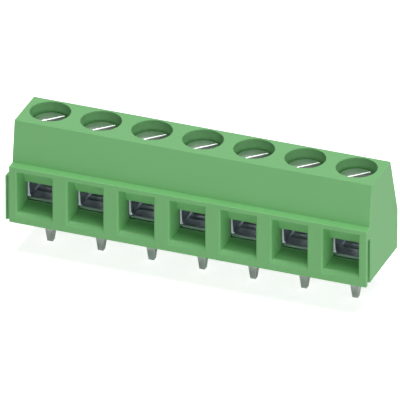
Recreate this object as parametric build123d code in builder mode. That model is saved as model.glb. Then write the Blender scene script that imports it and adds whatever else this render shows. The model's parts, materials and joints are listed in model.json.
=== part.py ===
from build123d import *
import os

# Seven-pole screw terminal block for a circuit board, in millimetres.
# The origin lies on the board, in the middle of the row of solder pins. X runs along the row,
# +Y points to the back and +Z up. Wires enter from the front and a screwdriver from above.
# Each pole holds a bent contact with its solder pin, a tension sleeve round the contact's bar,
# and a screw that stands on the bar and draws the sleeve up when it is tightened.

# Row of poles
pole_count = 7
pole_pitch = 5.08

# Contact, bent from one strip
contact_thickness = 0.8
bar_width = 2.5
contact_base_height = 0.1
contact_inner_bend = 0.3
base_plate_reach = 1.0
leg_gap = 0.15
nose_gap = 0.1
barb_height = 0.1
barb_length = 0.4
barb_spacing = 0.9
lower_barb_height = 1.4

# Solder pin
pin_width = 0.9
pin_length = 3.6
pin_taper_length = 1.4
pin_tip_width = 0.55
pin_inner_bend = 0.2

# Tension sleeve, wound from one strip with its ends lapped at the top
sleeve_strip = 0.5
sleeve_depth = 3.9
sleeve_inner_bend = 0.2
sleeve_bar_gap = 0.13
sleeve_seam = 0.03
sleeve_lead_in = 0.16
base_clearance = 0.13
top_clearance = 0.1
grip_groove_width = 0.3
grip_groove_depth = 0.1
grip_groove_spacing = 0.9

# Clamping travel: the wire gap at rest, how far it can still open, and what is left when shut
wire_gap = 1.9
opening_travel = 0.25
closed_gap = 0.11

# Clamping screw
thread_diameter = 2.6
thread_clearance = 0.02
tip_clearance = 0.02
head_diameter = 3.5
head_height = 1.25
head_chamfer = 0.12
slot_width = 0.7
slot_depth = 0.75
slot_angle = 45

# Housing walls and clearances round what it holds
sleeve_side_gap = 0.12
sleeve_end_clearance = 0.1
sleeve_roof_gap = 0.12
head_gap = 0.05
head_recess = 1.0
well_clearance = 0.2
well_front_rim = 0.76
well_back_rim = 0.26
back_wall = 1.31

# Wire funnel
funnel_depth = 1.66
funnel_flare = 0.26
funnel_sill = 1.0
funnel_floor_lip = 0.6
funnel_lip_radius = 0.2
funnel_ceiling_reach = 1.05
funnel_ceiling_drop = 0.18
window_wall = 0.5
window_drop = 0.31
window_reveal = 0.15
lintel_height = 0.55
bar_reveal = 0.02

# Housing outline, seen from its end
ledge_height = 5.9
ledge_depth = 0.9
back_knee_height = 4.05
housing_edge_radius = 0.1
end_edge_break = 0.05

# Rib on the left end and the groove on the right end that takes a neighbour's rib
rib_setback = 0.735
rib_height = 4.65
rib_reach = 0.5
rib_head_width = 0.76
rib_head_thickness = 0.16
rib_neck_width = 0.5
rib_clearance = 0.05

# Heights, worked upwards from the board
base_plate_top = contact_base_height + contact_thickness
sleeve_lowest_floor = base_plate_top + base_clearance + sleeve_strip
sleeve_floor = sleeve_lowest_floor + opening_travel
bar_underside = sleeve_floor + wire_gap
bar_top = bar_underside + contact_thickness
sleeve_ceiling = bar_top + top_clearance + opening_travel
sleeve_lap = sleeve_ceiling + sleeve_strip + sleeve_seam
sleeve_top = sleeve_lap + sleeve_strip
closing_travel = wire_gap - closed_gap
chamber_roof = sleeve_top + closing_travel + sleeve_roof_gap
screw_tip = bar_top + tip_clearance
head_underside = chamber_roof + head_gap
head_top = head_underside + head_height
housing_height = head_top + head_recess

# Depths, worked outwards from the row of poles
sleeve_face = sleeve_depth / 2
chamber_front = -(sleeve_face + sleeve_end_clearance)
window_front = chamber_front - window_wall
housing_front = window_front - funnel_depth
bar_nose = chamber_front + nose_gap
leg_front = sleeve_face + leg_gap
leg_back = leg_front + contact_thickness
housing_back = leg_back + back_wall
chamber_back = leg_front
pin_back = contact_thickness / 2

# Widths, worked outwards from each pole
sleeve_inner_width = bar_width + 2 * sleeve_bar_gap
lap_end = sleeve_inner_width / 2 - sleeve_inner_bend - sleeve_seam
sleeve_width = sleeve_inner_width + 2 * sleeve_strip
chamber_width = sleeve_width + 2 * sleeve_side_gap
leg_slot_width = bar_width + 2 * barb_height
window_width = sleeve_inner_width + 2 * window_reveal
mouth_width = window_width + 2 * funnel_flare
well_diameter = head_diameter + 2 * well_clearance
housing_length = pole_count * pole_pitch
left_end = -housing_length / 2
right_end = housing_length / 2
pole_positions = [left_end + (index + 0.5) * pole_pitch for index in range(pole_count)]

# Faces and openings that follow from these
window_bottom = sleeve_floor - window_drop
window_top = bar_underside - bar_reveal
mouth_top = ledge_height - lintel_height
mouth_apron = funnel_floor_lip + funnel_lip_radius
top_front = -well_diameter / 2 - well_front_rim
top_back = well_diameter / 2 + well_back_rim
ledge_back = housing_front + ledge_depth
rib_centre = housing_front + rib_setback
selection_margin = 0.01


# Funnel and window of one pole: a flared plan and a stepped side profile, both with rounded lips
with BuildPart() as wire_funnel:
    with BuildSketch() as funnel_plan:
        with BuildLine():
            Polyline(
                (0, chamber_front),
                (window_width / 2, chamber_front),
                (window_width / 2, window_front),
                (mouth_width / 2, housing_front),
                (mouth_width / 2 + mouth_apron, housing_front),
                (mouth_width / 2 + mouth_apron, housing_front - mouth_apron),
                (0, housing_front - mouth_apron),
                close=True,
            )
        make_face()
        side_lip = funnel_plan.vertices().sort_by_distance((mouth_width / 2, housing_front))[0]
        fillet(side_lip, funnel_lip_radius)
        mirror(about=Plane.YZ)
    extrude(amount=ledge_height)
    with BuildSketch(Plane.YZ) as funnel_profile:
        with BuildLine():
            Polyline(
                (chamber_front, window_bottom),
                (housing_front, funnel_sill),
                (housing_front, funnel_sill - mouth_apron),
                (housing_front - mouth_apron, funnel_sill - mouth_apron),
                (housing_front - mouth_apron, mouth_top + mouth_apron),
                (housing_front, mouth_top + mouth_apron),
                (housing_front, mouth_top),
                (housing_front + funnel_ceiling_reach, mouth_top - funnel_ceiling_drop),
                (window_front, window_top),
                (chamber_front, window_top),
                close=True,
            )
        make_face()
        floor_lip = funnel_profile.vertices().sort_by_distance((housing_front, funnel_sill))[0]
        fillet(floor_lip, funnel_floor_lip)
        ceiling_lip = funnel_profile.vertices().sort_by_distance((housing_front, mouth_top))[0]
        fillet(ceiling_lip, funnel_lip_radius)
    extrude(amount=pole_pitch / 2, both=True, mode=Mode.INTERSECT)


# What one pole takes out of the housing
with BuildPart() as pole_cavity:
    # Chamber for the sleeve, open to the board
    with BuildSketch() as chamber_outline:
        with Locations((0, chamber_front)):
            Rectangle(chamber_width, chamber_back - chamber_front, align=(Align.CENTER, Align.MIN))
    extrude(amount=chamber_roof)
    # Slot behind it for the contact's back leg
    with BuildSketch() as leg_slot_outline:
        with Locations((0, chamber_back)):
            Rectangle(leg_slot_width, leg_back - chamber_back, align=(Align.CENTER, Align.MIN))
    extrude(amount=bar_top)
    # Round well for the screw's head
    with BuildSketch(Plane.XY.offset(chamber_roof)) as well_outline:
        Circle(well_diameter / 2)
    extrude(amount=housing_height - chamber_roof)
    # Funnel from the front face into the chamber
    add(wire_funnel.part)


with BuildPart() as housing:
    # Stepped outline with a sloping front above the ledge and a sloping back above the knee
    with BuildSketch(Plane.YZ.offset(left_end)) as end_outline:
        with BuildLine():
            Polyline(
                (housing_front, 0),
                (housing_front, ledge_height),
                (ledge_back, ledge_height),
                (top_front, housing_height),
                (top_back, housing_height),
                (housing_back, back_knee_height),
                (housing_back, 0),
                close=True,
            )
        make_face()
        corners = end_outline.vertices().sort_by_distance((ledge_back, ledge_height))
        outer_corners = [corner for corner in corners[1:] if corner.Y > selection_margin]
        fillet(outer_corners, housing_edge_radius)
    extrude(amount=housing_length)
    # Broken edges all round both ends, apart from those on the board
    end_edges = housing.edges().filter_by_position(
        Axis.X, left_end - selection_margin, left_end + selection_margin
    ) + housing.edges().filter_by_position(
        Axis.X, right_end - selection_margin, right_end + selection_margin
    )
    chamfer([edge for edge in end_edges if edge.center().Z > selection_margin], end_edge_break)

    # Rib with an undercut neck on the left end
    with BuildSketch() as rib_outline:
        with BuildLine():
            Polyline(
                (left_end, rib_centre - rib_neck_width / 2),
                (left_end - rib_reach + rib_head_thickness, rib_centre - rib_neck_width / 2),
                (left_end - rib_reach + rib_head_thickness, rib_centre - rib_head_width / 2),
                (left_end - rib_reach, rib_centre - rib_head_width / 2),
                (left_end - rib_reach, rib_centre),
                (left_end, rib_centre),
                close=True,
            )
        make_face()
        mirror(about=Plane.XZ.offset(-rib_centre))
    extrude(amount=rib_height)
    # Groove of the same form on the right end
    with BuildSketch() as groove_outline:
        with Locations((right_end - rib_reach - rib_clearance, rib_centre)):
            Rectangle(
                rib_head_thickness + 2 * rib_clearance,
                rib_head_width + 2 * rib_clearance,
                align=(Align.MIN, Align.CENTER),
            )
            Rectangle(
                rib_reach + rib_clearance,
                rib_neck_width + 2 * rib_clearance,
                align=(Align.MIN, Align.CENTER),
            )
    extrude(amount=rib_height + rib_clearance, mode=Mode.SUBTRACT)

    # Seven poles
    with Locations(*[(pole_x, 0, 0) for pole_x in pole_positions]):
        add(pole_cavity.part, mode=Mode.SUBTRACT)

housing.part.label = "housing"


with BuildPart() as solder_contact:
    # Bar through the sleeve, back leg and base plate
    with BuildSketch(Plane.YZ) as bent_strip:
        with BuildLine():
            FilletPolyline(
                (bar_nose, bar_underside),
                (leg_front, bar_underside),
                (leg_front, base_plate_top),
                (base_plate_reach, base_plate_top),
                radius=contact_inner_bend,
            )
            offset(amount=contact_thickness, side=Side.LEFT)
        make_face()
    extrude(amount=bar_width / 2, both=True)
    # Tongue cut from the base plate and bent down as the solder pin
    with BuildSketch(Plane.YZ) as tongue:
        with BuildLine():
            FilletPolyline(
                (base_plate_reach + contact_thickness, contact_base_height),
                (pin_back, contact_base_height),
                (pin_back, pin_taper_length - pin_length),
                radius=pin_inner_bend,
            )
            offset(amount=contact_thickness, side=Side.RIGHT)
        make_face()
    extrude(amount=pin_width / 2, both=True)
    # Tapered tip
    with BuildSketch(Plane.XY.offset(pin_taper_length - pin_length)) as pin_section:
        Rectangle(pin_width, contact_thickness)
    with BuildSketch(Plane.XY.offset(-pin_length)) as pin_end:
        Rectangle(pin_tip_width, pin_tip_width)
    loft()
    # Barbs that grip the sides of the leg's slot: they slide in upwards and bite when pulled down
    with BuildSketch(Plane.XZ.offset(-leg_front)) as barbs:
        for barb_z in (lower_barb_height, lower_barb_height + barb_spacing):
            with BuildLine():
                Polyline(
                    (bar_width / 2 - barb_height, barb_z),
                    (bar_width / 2 + barb_height, barb_z),
                    (bar_width / 2, barb_z + barb_length),
                    (bar_width / 2 - barb_height, barb_z + barb_length),
                    close=True,
                )
            make_face()
        mirror(about=Plane.YZ)
    extrude(amount=-contact_thickness)


with BuildPart() as tension_sleeve:
    # Strip wound round the bar, with its two ends lapped over each other at the top
    with BuildSketch(Plane.XZ.offset(-sleeve_face)) as wound_strip:
        with BuildLine():
            inner_side = FilletPolyline(
                (lap_end, sleeve_ceiling),
                (-sleeve_inner_width / 2, sleeve_ceiling),
                (-sleeve_inner_width / 2, sleeve_floor),
                (sleeve_inner_width / 2, sleeve_floor),
                (sleeve_inner_width / 2, sleeve_lap),
                (-lap_end, sleeve_lap),
                radius=sleeve_inner_bend,
            )
            outer_side = FilletPolyline(
                (lap_end, sleeve_ceiling + sleeve_strip),
                (-sleeve_width / 2, sleeve_ceiling + sleeve_strip),
                (-sleeve_width / 2, sleeve_floor - sleeve_strip),
                (sleeve_width / 2, sleeve_floor - sleeve_strip),
                (sleeve_width / 2, sleeve_top),
                (-lap_end, sleeve_top),
                radius=sleeve_inner_bend + sleeve_strip,
            )
            Line(inner_side @ 0, outer_side @ 0)
            Line(inner_side @ 1, outer_side @ 1)
        make_face()
    extrude(amount=sleeve_depth)
    # Bevelled sides where the wire enters and leaves
    with BuildSketch(Plane.XY.offset(sleeve_floor)) as side_bevels:
        with BuildLine():
            Polyline(
                (sleeve_inner_width / 2 - sleeve_inner_bend, -sleeve_face),
                (sleeve_inner_width / 2 + sleeve_lead_in, -sleeve_face),
                (sleeve_inner_width / 2, sleeve_lead_in - sleeve_face),
                (sleeve_inner_width / 2 - sleeve_inner_bend, sleeve_lead_in - sleeve_face),
                close=True,
            )
        make_face()
        mirror(about=Plane.YZ)
        mirror(about=Plane.XZ)
    extrude(amount=sleeve_ceiling - sleeve_floor, mode=Mode.SUBTRACT)
    # Grooves across the floor that grip the wire
    with BuildSketch(Plane.YZ) as grip_grooves:
        for groove_y in (-grip_groove_spacing / 2, grip_groove_spacing / 2):
            with BuildLine():
                Polyline(
                    (groove_y - grip_groove_width / 2, sleeve_floor),
                    (groove_y + grip_groove_width / 2, sleeve_floor),
                    (groove_y, sleeve_floor - grip_groove_depth),
                    close=True,
                )
            make_face()
    extrude(amount=sleeve_inner_width / 2 - sleeve_inner_bend, both=True, mode=Mode.SUBTRACT)
    # Tapped hole through both laps, cut to the thread's outer diameter
    with BuildSketch(Plane.XY.offset(sleeve_ceiling)) as tapped_hole:
        Circle(thread_diameter / 2 + thread_clearance)
    extrude(amount=sleeve_top - sleeve_ceiling, mode=Mode.SUBTRACT)


with BuildPart() as clamp_screw:
    # Turned shank and cheese head
    with BuildSketch(Plane.XZ) as turned_profile:
        with BuildLine():
            Polyline(
                (0, screw_tip),
                (thread_diameter / 2, screw_tip),
                (thread_diameter / 2, head_underside),
                (head_diameter / 2, head_underside),
                (head_diameter / 2, head_top - head_chamfer),
                (head_diameter / 2 - head_chamfer, head_top),
                (0, head_top),
                close=True,
            )
        make_face()
    revolve(axis=Axis.Z)
    # Slot for the screwdriver
    with BuildSketch(Plane.XY.offset(head_top)) as driver_slot:
        Rectangle(2 * head_diameter, slot_width, rotation=slot_angle)
    extrude(amount=-slot_depth, mode=Mode.SUBTRACT)


# One file for the housing and one for each piece of each pole, counted from the left end
os.makedirs("parts", exist_ok=True)
export_step(housing.part, "parts/housing.step")
pole_pieces = {
    "solder_contact": solder_contact.part,
    "tension_sleeve": tension_sleeve.part,
    "clamp_screw": clamp_screw.part,
}
for pole_number, pole_x in enumerate(pole_positions, start=1):
    for piece_name, piece in pole_pieces.items():
        placed = piece.moved(Location((pole_x, 0, 0)))
        placed.label = f"{piece_name}_{pole_number}"
        export_step(placed, f"parts/{placed.label}.step")
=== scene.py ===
import json
import math

import bpy
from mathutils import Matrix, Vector

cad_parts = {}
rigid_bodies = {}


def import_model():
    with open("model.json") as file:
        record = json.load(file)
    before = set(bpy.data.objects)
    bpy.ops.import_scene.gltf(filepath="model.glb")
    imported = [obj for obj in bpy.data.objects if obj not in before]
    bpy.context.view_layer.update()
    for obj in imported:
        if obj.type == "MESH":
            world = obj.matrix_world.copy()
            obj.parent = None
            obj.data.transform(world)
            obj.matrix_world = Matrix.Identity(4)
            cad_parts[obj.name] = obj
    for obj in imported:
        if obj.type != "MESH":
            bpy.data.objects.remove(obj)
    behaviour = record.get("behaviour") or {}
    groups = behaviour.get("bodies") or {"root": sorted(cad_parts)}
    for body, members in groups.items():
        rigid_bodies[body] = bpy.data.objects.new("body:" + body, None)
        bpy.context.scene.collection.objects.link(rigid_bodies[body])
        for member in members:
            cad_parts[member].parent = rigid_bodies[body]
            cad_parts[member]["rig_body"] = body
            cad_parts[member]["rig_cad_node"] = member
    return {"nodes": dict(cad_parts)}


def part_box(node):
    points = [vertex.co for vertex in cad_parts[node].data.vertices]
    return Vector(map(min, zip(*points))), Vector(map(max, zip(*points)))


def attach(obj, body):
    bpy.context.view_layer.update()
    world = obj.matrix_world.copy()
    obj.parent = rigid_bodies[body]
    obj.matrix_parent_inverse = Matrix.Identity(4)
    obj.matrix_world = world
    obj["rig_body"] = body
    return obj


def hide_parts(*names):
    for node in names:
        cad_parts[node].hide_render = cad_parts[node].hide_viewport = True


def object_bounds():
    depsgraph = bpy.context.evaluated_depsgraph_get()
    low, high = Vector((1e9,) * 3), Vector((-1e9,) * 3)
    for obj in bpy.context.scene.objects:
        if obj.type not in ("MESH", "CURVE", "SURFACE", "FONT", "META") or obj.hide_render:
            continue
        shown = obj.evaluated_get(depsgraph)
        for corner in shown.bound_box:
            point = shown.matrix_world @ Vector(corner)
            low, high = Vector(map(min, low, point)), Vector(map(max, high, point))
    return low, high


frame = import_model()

# Looks of a seven-pole screw terminal block for a circuit board: a green moulded housing, zinc-plated
# screws with real threads, nickel-plated clamping sleeves and tin-plated contacts.

CAD_LOW, CAD_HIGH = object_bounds()
MM = 0.001
POLES = range(1, 8)
PITCH = 5.08 * MM

# Heights of the screw, read from its CAD solid, and its turned and milled sizes
SCREW_LOW, SCREW_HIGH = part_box("clamp_screw_4")
TIP_Z = SCREW_LOW.z
HEAD_TOP = SCREW_HIGH.z
HEAD_RADIUS = 1.75 * MM
HEAD_HEIGHT = 1.25 * MM
HEAD_UNDERSIDE = HEAD_TOP - HEAD_HEIGHT
HEAD_EDGE = 0.12 * MM
NECK_RADIUS = 1.05 * MM
NECK_LENGTH = 0.3 * MM
SLOT_WIDTH = 0.7 * MM
SLOT_DEPTH = 0.75 * MM
SLOT_ANGLE = math.radians(45)
SLOT_CHAMFER = 0.055 * MM
BURR_ROUNDING = 0.03 * MM

# Roundings of stamped and moulded edges, and distances that count as nothing in modelling
STAMPED_ROUNDING = 0.04 * MM
MOULDED_ROUNDING = 0.05 * MM
HAIR = 0.01 * MM
WELD = 0.001 * MM

# Both ends of the clamping sleeve, which the die sheared
SLEEVE_FRONT, SLEEVE_BACK = (corner.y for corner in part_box("tension_sleeve_4"))
SHEARED_DEPTH = 0.1 * MM

# Metric thread with its standard flanks of 60 degrees
THREAD_PITCH = 0.45 * MM
THREAD_RADIUS = 1.3 * MM
THREAD_ROOT = THREAD_RADIUS - 0.6134 * THREAD_PITCH
THREAD_CREST = THREAD_PITCH / 8
THREAD_FLANK = (THREAD_RADIUS - THREAD_ROOT) * math.tan(math.radians(30))
TIP_CHAMFER = 0.3 * MM
TURN_STEPS = 48


# Small helpers for modelling by hand

def only(piece):
    """Selects one object alone and makes it the active one."""
    bpy.ops.object.select_all(action="DESELECT")
    piece.select_set(True)
    bpy.context.view_layer.objects.active = piece


def edit(piece, mode="VERT"):
    """Enters edit mode with nothing selected, in the given select mode."""
    only(piece)
    bpy.ops.object.mode_set(mode="EDIT")
    bpy.ops.mesh.select_mode(type=mode)
    bpy.ops.mesh.select_all(action="DESELECT")


def pick(piece, kind, test):
    """In edit mode, selects the edges or faces that pass a test, which also gets their middle."""
    bpy.ops.object.mode_set(mode="OBJECT")
    mesh = piece.data
    for part in getattr(mesh, kind):
        middle = sum((mesh.vertices[v].co for v in part.vertices), Vector()) / len(part.vertices)
        part.select = bool(test(part, middle))
    bpy.ops.object.mode_set(mode="EDIT")


def leave():
    """Turns the faces outwards and leaves edit mode."""
    bpy.ops.mesh.select_all(action="SELECT")
    bpy.ops.mesh.normals_make_consistent(inside=False)
    bpy.ops.object.mode_set(mode="OBJECT")


def finish_with(piece, kind, **settings):
    """Adds a modifier and applies it."""
    only(piece)
    modifier = piece.modifiers.new(kind.title(), kind)
    for name, value in settings.items():
        setattr(modifier, name, value)
    bpy.ops.object.modifier_apply(modifier=modifier.name)


def cut(piece, tool, operation):
    """Joins, cuts or trims a piece with another closed one, which is then thrown away."""
    finish_with(piece, "BOOLEAN", object=tool, operation=operation, solver="EXACT")
    bpy.data.objects.remove(tool)


def draw_line(name, points):
    """Draws a line through points by extruding one vertex again and again."""
    bpy.ops.object.select_all(action="DESELECT")
    bpy.ops.mesh.primitive_plane_add(size=MM)
    line = bpy.context.object
    line.name = name
    bpy.ops.object.mode_set(mode="EDIT")
    bpy.ops.mesh.select_mode(type="VERT")
    bpy.ops.mesh.merge(type="CENTER")
    here = Vector()
    for number, point in enumerate(points):
        step = {"value": Vector(point) - here}
        if number:
            bpy.ops.mesh.extrude_vertices_move(TRANSFORM_OT_translate=step)
        else:
            bpy.ops.transform.translate(**step)
        here = Vector(point)
    bpy.ops.object.mode_set(mode="OBJECT")
    return line


# Materials

# Sockets of a Mix node that mixes colours, and the range in which noise mostly keeps
MIX_FACTOR = 0
MIX_FIRST = 6
MIX_SECOND = 7
MIX_RESULT = 2
NOISE_LOW = 0.3
NOISE_HIGH = 0.7


def linear(hex_colour):
    """An sRGB hex colour as linear red, green, blue and alpha."""
    shares = [int(hex_colour[start:start + 2], 16) / 255 for start in (1, 3, 5)]
    return [s / 12.92 if s <= 0.04045 else ((s + 0.055) / 1.055) ** 2.4 for s in shares] + [1.0]


def add_node(tree, kind, settings=None, values=None, links=None):
    """Adds a node with its settings, its socket values and the links into it."""
    node = tree.nodes.new(kind)
    for name, value in (settings or {}).items():
        setattr(node, name, value)
    for socket, value in (values or {}).items():
        node.inputs[socket].default_value = value
    for socket, (source, output) in (links or {}).items():
        tree.links.new(source.outputs[output], node.inputs[socket])
    return node


def new_material(name, **shader_values):
    """A material with its shader and its object coordinates."""
    material = bpy.data.materials.new(name)
    material.use_nodes = True
    tree = material.node_tree
    shader = tree.nodes["Principled BSDF"]
    for socket, value in shader_values.items():
        shader.inputs[socket.replace("_", " ")].default_value = value
    coordinates = add_node(tree, "ShaderNodeTexCoord")
    return material, tree, shader, coordinates


def dress(tree, shader, colour, gloss, bump):
    """Gives the shader its finished colour, roughness and relief."""
    tree.links.new(colour.outputs[MIX_RESULT], shader.inputs["Base Color"])
    tree.links.new(gloss.outputs[0], shader.inputs["Roughness"])
    tree.links.new(bump.outputs[0], shader.inputs["Normal"])


def moulded_green_polyamide():
    """Polyamide moulded in a spark-eroded steel mould: satin, finely grained, with faint flow clouds."""
    material, tree, shader, coordinates = new_material("moulded_green_polyamide", IOR=1.53)
    place = {"Vector": (coordinates, "Object")}
    # Pigment flows in clouds about 4 mm wide
    clouds = add_node(
        tree, "ShaderNodeTexNoise", values={"Scale": 1 / (4 * MM), "Detail": 3.0}, links=place,
    )
    colour = add_node(
        tree, "ShaderNodeMix", {"data_type": "RGBA"},
        {MIX_FIRST: linear("#6caf6b"), MIX_SECOND: linear("#70b36f")}, {MIX_FACTOR: (clouds, "Fac")},
    )
    # Grain of the mould's wall is 0.05 mm, and drawn at 0.16 mm so that it shows
    grain = add_node(
        tree, "ShaderNodeTexNoise", values={"Scale": 1 / (0.16 * MM), "Detail": 4.0}, links=place,
    )
    gloss = add_node(
        tree, "ShaderNodeMapRange",
        values={"From Min": NOISE_LOW, "From Max": NOISE_HIGH, "To Min": 0.42, "To Max": 0.52},
        links={"Value": (grain, "Fac")},
    )
    bump = add_node(
        tree, "ShaderNodeBump", values={"Strength": 0.25, "Distance": 0.01 * MM},
        links={"Height": (grain, "Fac")},
    )
    dress(tree, shader, colour, gloss, bump)
    return material


def turned_zinc_plated_steel():
    """Steel turned on an automatic lathe and zinc plated: bright, bluish, with fine rings on its head."""
    material, tree, shader, coordinates = new_material("turned_zinc_plated_steel", Metallic=1.0)
    # Every screw's own axis lies a whole number of pitches from the middle one's
    split = add_node(tree, "ShaderNodeSeparateXYZ", links={"Vector": (coordinates, "Object")})
    across = add_node(
        tree, "ShaderNodeMath", {"operation": "WRAP"}, {1: PITCH / 2, 2: -PITCH / 2}, {0: (split, "X")},
    )
    place = add_node(
        tree, "ShaderNodeCombineXYZ", links={"X": (across, 0), "Y": (split, "Y"), "Z": (split, "Z")},
    )
    # Turning feed is 0.05 mm a turn, and drawn at 0.14 mm so that the rings just show
    rings = add_node(
        tree, "ShaderNodeTexWave",
        {"wave_type": "RINGS", "rings_direction": "Z"},
        {"Scale": math.pi / 10 / (0.14 * MM), "Distortion": 0.6, "Detail": 2.0},
        {"Vector": (place, 0)},
    )
    # Patches of duller plating, 0.8 mm across
    patches = add_node(
        tree, "ShaderNodeTexNoise", values={"Scale": 1 / (0.8 * MM), "Detail": 3.0},
        links={"Vector": (coordinates, "Object")},
    )
    colour = add_node(
        tree, "ShaderNodeMix", {"data_type": "RGBA"},
        {MIX_FIRST: linear("#d0d5d3"), MIX_SECOND: linear("#dadfdd")}, {MIX_FACTOR: (patches, "Fac")},
    )
    gloss = add_node(
        tree, "ShaderNodeMapRange",
        values={"From Min": NOISE_LOW, "From Max": NOISE_HIGH, "To Min": 0.29, "To Max": 0.36},
        links={"Value": (patches, "Fac")},
    )
    bump = add_node(
        tree, "ShaderNodeBump", values={"Strength": 0.05, "Distance": 0.002 * MM},
        links={"Height": (rings, "Fac")},
    )
    dress(tree, shader, colour, gloss, bump)
    return material


def milled_steel(name, darkest, lightest):
    """The same plating inside the milled slot: duller, with streaks left by the cutter. For the slot's
    floor it is called with much darker colours, which are painted shade.
    """
    material, tree, shader, coordinates = new_material(name, Metallic=1.0)
    # Streaks are 0.12 mm apart and 1.5 mm long, along the slot
    stretch = add_node(
        tree, "ShaderNodeMapping", {"vector_type": "TEXTURE"},
        {"Rotation": (0, 0, SLOT_ANGLE), "Scale": (1.5, 0.12, 0.12)}, {"Vector": (coordinates, "Object")},
    )
    streaks = add_node(
        tree, "ShaderNodeTexNoise", values={"Scale": 1 / MM, "Detail": 2.0}, links={"Vector": (stretch, 0)},
    )
    colour = add_node(
        tree, "ShaderNodeMix", {"data_type": "RGBA"},
        {MIX_FIRST: linear(darkest), MIX_SECOND: linear(lightest)}, {MIX_FACTOR: (streaks, "Fac")},
    )
    gloss = add_node(
        tree, "ShaderNodeMapRange",
        values={"From Min": NOISE_LOW, "From Max": NOISE_HIGH, "To Min": 0.5, "To Max": 0.62},
        links={"Value": (streaks, "Fac")},
    )
    bump = add_node(
        tree, "ShaderNodeBump", values={"Strength": 0.3, "Distance": 0.01 * MM},
        links={"Height": (streaks, "Fac")},
    )
    dress(tree, shader, colour, gloss, bump)
    return material


def nickel_plated_brass(name, smoothest, roughest):
    """Brass strip rolled, stamped, wound and nickel plated: bluish grey, with faint rolling lines."""
    material, tree, shader, coordinates = new_material(name, Metallic=1.0)
    # Rolling lines are 0.06 mm apart across the strip and 3 mm long
    stretch = add_node(
        tree, "ShaderNodeMapping", values={"Scale": (1 / 3, 50 / 3, 1 / 3)},
        links={"Vector": (coordinates, "Object")},
    )
    lines = add_node(
        tree, "ShaderNodeTexNoise", values={"Scale": 1 / MM, "Detail": 3.0}, links={"Vector": (stretch, 0)},
    )
    colour = add_node(
        tree, "ShaderNodeMix", {"data_type": "RGBA"},
        {MIX_FIRST: linear("#b4bcc6"), MIX_SECOND: linear("#c2c9d1")}, {MIX_FACTOR: (lines, "Fac")},
    )
    gloss = add_node(
        tree, "ShaderNodeMapRange",
        values={"From Min": NOISE_LOW, "From Max": NOISE_HIGH, "To Min": smoothest, "To Max": roughest},
        links={"Value": (lines, "Fac")},
    )
    bump = add_node(
        tree, "ShaderNodeBump", values={"Strength": 0.2, "Distance": 0.004 * MM},
        links={"Height": (lines, "Fac")},
    )
    dress(tree, shader, colour, gloss, bump)
    return material


def tinned_copper_alloy():
    """Copper alloy strip, stamped, bent and tin plated: pale satin grey, with faint upright press marks."""
    material, tree, shader, coordinates = new_material("tinned_copper_alloy", Metallic=1.0)
    # Press marks are 0.08 mm apart and 2 mm long
    stretch = add_node(
        tree, "ShaderNodeMapping", values={"Scale": (12.5, 12.5, 0.5)},
        links={"Vector": (coordinates, "Object")},
    )
    marks = add_node(
        tree, "ShaderNodeTexNoise", values={"Scale": 1 / MM, "Detail": 3.0}, links={"Vector": (stretch, 0)},
    )
    colour = add_node(
        tree, "ShaderNodeMix", {"data_type": "RGBA"},
        {MIX_FIRST: linear("#dce1de"), MIX_SECOND: linear("#e8ece9")}, {MIX_FACTOR: (marks, "Fac")},
    )
    gloss = add_node(
        tree, "ShaderNodeMapRange",
        values={"From Min": NOISE_LOW, "From Max": NOISE_HIGH, "To Min": 0.42, "To Max": 0.55},
        links={"Value": (marks, "Fac")},
    )
    bump = add_node(
        tree, "ShaderNodeBump", values={"Strength": 0.2, "Distance": 0.004 * MM},
        links={"Height": (marks, "Fac")},
    )
    dress(tree, shader, colour, gloss, bump)
    return material


# Pieces

def threaded_shank():
    """One thread groove turned up the shank, cut flat at both ends and chamfered at the tip."""
    thread_top = HEAD_UNDERSIDE - NECK_LENGTH
    start_z = TIP_Z - 1.5 * THREAD_PITCH
    turns = math.ceil((thread_top - start_z) / THREAD_PITCH) + 2
    root_top = THREAD_PITCH - THREAD_CREST - 2 * THREAD_FLANK
    shank = draw_line("threaded_shank", [
        (THREAD_ROOT, 0, start_z),
        (THREAD_ROOT, 0, start_z + root_top),
        (THREAD_RADIUS, 0, start_z + root_top + THREAD_FLANK),
        (THREAD_RADIUS, 0, start_z + root_top + THREAD_FLANK + THREAD_CREST),
        (THREAD_ROOT, 0, start_z + THREAD_PITCH),
    ])
    finish_with(
        shank, "SCREW", axis="Z", angle=math.tau, screw_offset=THREAD_PITCH, iterations=turns,
        steps=TURN_STEPS, render_steps=TURN_STEPS, use_merge_vertices=True, merge_threshold=WELD,
    )
    edit(shank)
    bpy.ops.mesh.select_all(action="SELECT")
    bpy.ops.mesh.remove_doubles(threshold=WELD)
    for end_z, keep in ((thread_top, {"clear_outer": True}), (TIP_Z, {"clear_inner": True})):
        bpy.ops.mesh.select_all(action="SELECT")
        bpy.ops.mesh.bisect(
            plane_co=(0, 0, end_z), plane_no=(0, 0, 1), use_fill=True, threshold=WELD / 10, **keep
        )
    leave()

    # Blank that stands past the thread's top, and chamfers the tip
    past_top = 0.4 * MM
    bpy.ops.object.select_all(action="DESELECT")
    bpy.ops.mesh.primitive_cylinder_add(
        vertices=TURN_STEPS * 2, radius=THREAD_RADIUS * 1.02, depth=thread_top - TIP_Z + past_top,
        location=(0, 0, (thread_top + TIP_Z + past_top) / 2),
    )
    blank = bpy.context.object
    bpy.ops.object.transform_apply(location=True)
    edit(blank, "EDGE")
    pick(blank, "edges", lambda edge, middle: middle.z < TIP_Z + HAIR)
    bpy.ops.mesh.bevel(offset=TIP_CHAMFER, segments=1)
    leave()
    cut(shank, blank, "INTERSECT")
    return shank


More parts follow.
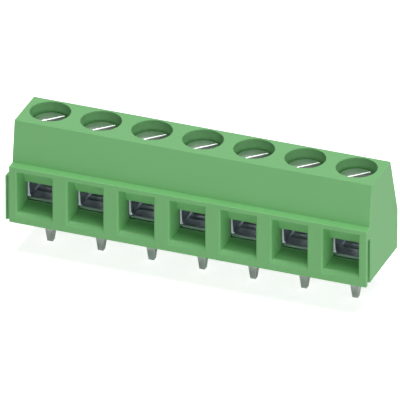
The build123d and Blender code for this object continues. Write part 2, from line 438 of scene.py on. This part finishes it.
def slotted_screw():
    """Cheese head with a milled slot, a turned neck and a threaded shank."""
    bpy.ops.object.select_all(action="DESELECT")
    bpy.ops.mesh.primitive_cylinder_add(
        vertices=TURN_STEPS * 2, radius=HEAD_RADIUS, depth=HEAD_HEIGHT,
        location=(0, 0, (HEAD_UNDERSIDE + HEAD_TOP) / 2),
    )
    screw = bpy.context.object
    screw.name = "slotted_screw"
    bpy.ops.object.transform_apply(location=True)
    edit(screw, "EDGE")
    pick(screw, "edges", lambda edge, middle: middle.z > HEAD_TOP - HAIR)
    bpy.ops.mesh.bevel(offset=HEAD_EDGE, segments=4)
    bpy.ops.mesh.select_mode(type="FACE")
    pick(screw, "polygons", lambda face, middle: face.normal.z < -0.9)
    bpy.ops.mesh.inset(thickness=HEAD_RADIUS - NECK_RADIUS)
    # Neck, which reaches a little into the shank
    bpy.ops.mesh.extrude_region_move(
        TRANSFORM_OT_translate={"value": (0, 0, -NECK_LENGTH - 10 * HAIR)}
    )
    leave()

    # Square slot, and a V cut on top of it that breaks its two edges
    vee = math.sqrt(2) * (SLOT_WIDTH / 2 + SLOT_CHAMFER)
    for width, height, tilt in ((SLOT_WIDTH, 2 * SLOT_DEPTH, 0), (vee, vee, math.radians(45))):
        bpy.ops.object.select_all(action="DESELECT")
        bpy.ops.mesh.primitive_cube_add(
            size=1, scale=(3 * HEAD_RADIUS, width, height),
            location=(0, 0, HEAD_TOP), rotation=(tilt, 0, SLOT_ANGLE),
        )
        cutter = bpy.context.object
        bpy.ops.object.transform_apply(location=True, rotation=True, scale=True)
        cut(screw, cutter, "DIFFERENCE")
    finish_with(
        screw, "BEVEL", width=BURR_ROUNDING, segments=2, limit_method="ANGLE", angle_limit=math.radians(40),
    )
    # The slot's floor is coloured much darker than the plating. This is painted shade, so the slot shows as
    # a dark line even where light falls straight in.
    screw.data.materials.append(turned_zinc_plated_steel())
    screw.data.materials.append(milled_steel("milled_slot_walls", "#b8bebb", "#e2e6e4"))
    screw.data.materials.append(milled_steel("slot_floor_painted_shade", "#565c59", "#747a77"))
    across_slot = Vector((-math.sin(SLOT_ANGLE), math.cos(SLOT_ANGLE), 0))
    for face in screw.data.polygons:
        in_slot = abs(face.center.dot(across_slot)) < SLOT_WIDTH / 2 + BURR_ROUNDING / 2
        depth = HEAD_TOP - face.center.z
        if in_slot and SLOT_CHAMFER < depth < SLOT_DEPTH + BURR_ROUNDING:
            # Faces on the slot's floor take the painted shade
            face.material_index = 2 if depth > SLOT_DEPTH - BURR_ROUNDING else 1
    cut(screw, threaded_shank(), "UNION")
    only(screw)
    bpy.ops.object.shade_smooth_by_angle(angle=math.radians(32))
    return screw


def softened_copy(node, name, width, material):
    """A copy of a CAD solid with its sharp edges rounded a little, as stamping or moulding leaves them."""
    only(frame["nodes"][node])
    bpy.ops.object.duplicate()
    piece = bpy.context.object
    piece.name = name
    piece.parent = None
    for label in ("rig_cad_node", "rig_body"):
        del piece[label]
    edit(piece)
    bpy.ops.mesh.select_all(action="SELECT")
    bpy.ops.mesh.remove_doubles(threshold=WELD / 2)
    bpy.ops.mesh.dissolve_limited(angle_limit=math.radians(0.5))
    bpy.ops.object.mode_set(mode="OBJECT")
    piece.data.materials.clear()
    piece.data.materials.append(material)
    finish_with(
        piece, "BEVEL", width=width, segments=2, limit_method="ANGLE", angle_limit=math.radians(35),
    )
    only(piece)
    bpy.ops.object.shade_smooth_by_angle(angle=math.radians(50))
    finish_with(piece, "WEIGHTED_NORMAL", keep_sharp=True)
    return piece


def wound_sleeve():
    """The sleeve, satin where its strip was rolled, and bright where the die sheared its two ends."""
    rolled = nickel_plated_brass("rolled_nickel_plated_brass", smoothest=0.3, roughest=0.4)
    sheared = nickel_plated_brass("sheared_nickel_plated_brass", smoothest=0.03, roughest=0.06)
    sleeve = softened_copy("tension_sleeve_4", "wound_sleeve", STAMPED_ROUNDING, rolled)
    sleeve.data.materials.append(sheared)
    for face in sleeve.data.polygons:
        from_end = min(face.center.y - SLEEVE_FRONT, SLEEVE_BACK - face.center.y)
        if abs(face.normal.y) > 0.5 and from_end < SHEARED_DEPTH:
            face.material_index = 1
    return sleeve


def put_in_every_pole(master, node, body):
    """Copies the middle pole's piece to all poles, each with its own mesh, riding on that pole's body."""
    for pole in POLES:
        only(master)
        bpy.ops.object.duplicate()
        piece = bpy.context.object
        piece.name = f"{master.name.split('.')[0]}_{pole}"
        bpy.ops.transform.translate(value=((pole - 4) * PITCH, 0, 0))
        bpy.ops.object.transform_apply(location=True)
        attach(piece, body.format(pole))
        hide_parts(f"{node}_{pole}")
    bpy.data.objects.remove(master)


put_in_every_pole(slotted_screw(), "clamp_screw", "screw_{}")
put_in_every_pole(wound_sleeve(), "tension_sleeve", "sleeve_{}")
put_in_every_pole(
    softened_copy("solder_contact_4", "bent_contact", STAMPED_ROUNDING, tinned_copper_alloy()),
    "solder_contact", "terminal_block",
)
moulding = softened_copy("housing", "moulded_housing", MOULDED_ROUNDING, moulded_green_polyamide())
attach(moulding, "terminal_block")
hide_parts("housing")


# Stage: a white floor under the pins' tips, which also glows where the camera sees it

FLOOR_Z = CAD_LOW.z
FLOOR_SIZE = 4
FLOOR_GLOW = 0.8
bpy.ops.object.select_all(action="DESELECT")
bpy.ops.mesh.primitive_plane_add(size=FLOOR_SIZE, location=(0, 0, FLOOR_Z))
floor = bpy.context.object
floor.name = "floor"
paper = bpy.data.materials.new("white_paper")
paper.use_nodes = True
tree = paper.node_tree
tree.nodes.clear()
sheet = add_node(tree, "ShaderNodeBsdfDiffuse", values={"Color": linear("#f2f2f2")})
path = add_node(tree, "ShaderNodeLightPath")
glow = add_node(
    tree, "ShaderNodeMath", {"operation": "MULTIPLY"}, {1: FLOOR_GLOW}, {0: (path, "Is Camera Ray")},
)
light = add_node(tree, "ShaderNodeEmission", links={"Strength": (glow, 0)})
both = add_node(tree, "ShaderNodeAddShader", links={0: (sheet, 0), 1: (light, 0)})
add_node(tree, "ShaderNodeOutputMaterial", links={"Surface": (both, 0)})
floor.data.materials.append(paper)

# World: soft white light all round, and pure white where it is seen or mirrored

WORLD_LIGHT = 0.12
world = bpy.data.worlds.new("studio")
bpy.context.scene.world = world
world.use_nodes = True
tree = world.node_tree
tree.nodes.clear()
path = add_node(tree, "ShaderNodeLightPath")
seen = add_node(
    tree, "ShaderNodeMath", {"operation": "MAXIMUM"},
    links={0: (path, "Is Camera Ray"), 1: (path, "Is Glossy Ray")},
)
seen = add_node(
    tree, "ShaderNodeMath", {"operation": "MAXIMUM"},
    links={0: (seen, 0), 1: (path, "Is Transmission Ray")},
)
strength = add_node(
    tree, "ShaderNodeMapRange", values={"To Min": WORLD_LIGHT, "To Max": 1.0}, links={"Value": (seen, 0)},
)
background = add_node(
    tree, "ShaderNodeBackground", values={"Color": linear("#ffffff")}, links={"Strength": (strength, 0)},
)
add_node(tree, "ShaderNodeOutputWorld", links={"Surface": (background, 0)})

# Lamps: one large one over the block, and two long flat ones level with it

LAMP_DISTANCE = 0.5


def softbox(name, direction, width, height, power):
    """A flat lamp that looks at the block from a direction. Its power is in watts."""
    bpy.ops.object.light_add(type="AREA", location=Vector(direction).normalized() * LAMP_DISTANCE)
    lamp = bpy.context.object
    lamp.name = name
    lamp.data.shape = "RECTANGLE"
    lamp.data.size = width
    lamp.data.size_y = height
    lamp.data.energy = power
    lamp.rotation_euler = Vector(direction).to_track_quat("Z", "Y").to_euler()


softbox("key_softbox", (0.15, -0.05, 1), width=0.3, height=0.3, power=2.3)
softbox("front_softbox", (0.1, -1, 0.04), width=0.4, height=0.04, power=0.44)
softbox("side_softbox", (1, -0.35, 0.04), width=0.4, height=0.05, power=0.85)


# Camera: a long lens, because the photo's parallel edges stay parallel

AZIMUTH = math.radians(20.99)
ELEVATION = math.radians(28.68)
SEEN_WIDTH = 37.223 * MM
DISTANCE = 1.5
LOOKED_AT = Vector((-0.0606, -0.6353, 3.9554)) * MM
back = Vector((
    math.sin(AZIMUTH) * math.cos(ELEVATION), -math.cos(AZIMUTH) * math.cos(ELEVATION), math.sin(ELEVATION),
))
bpy.ops.object.camera_add(
    location=LOOKED_AT + back * DISTANCE, rotation=back.to_track_quat("Z", "Y").to_euler(),
)
camera = bpy.context.object
camera.data.lens = camera.data.sensor_width * DISTANCE / SEEN_WIDTH
camera.data.clip_start = DISTANCE / 10
camera.data.clip_end = DISTANCE * 10
bpy.context.scene.camera = camera
bpy.context.scene.view_settings.view_transform = "Standard"
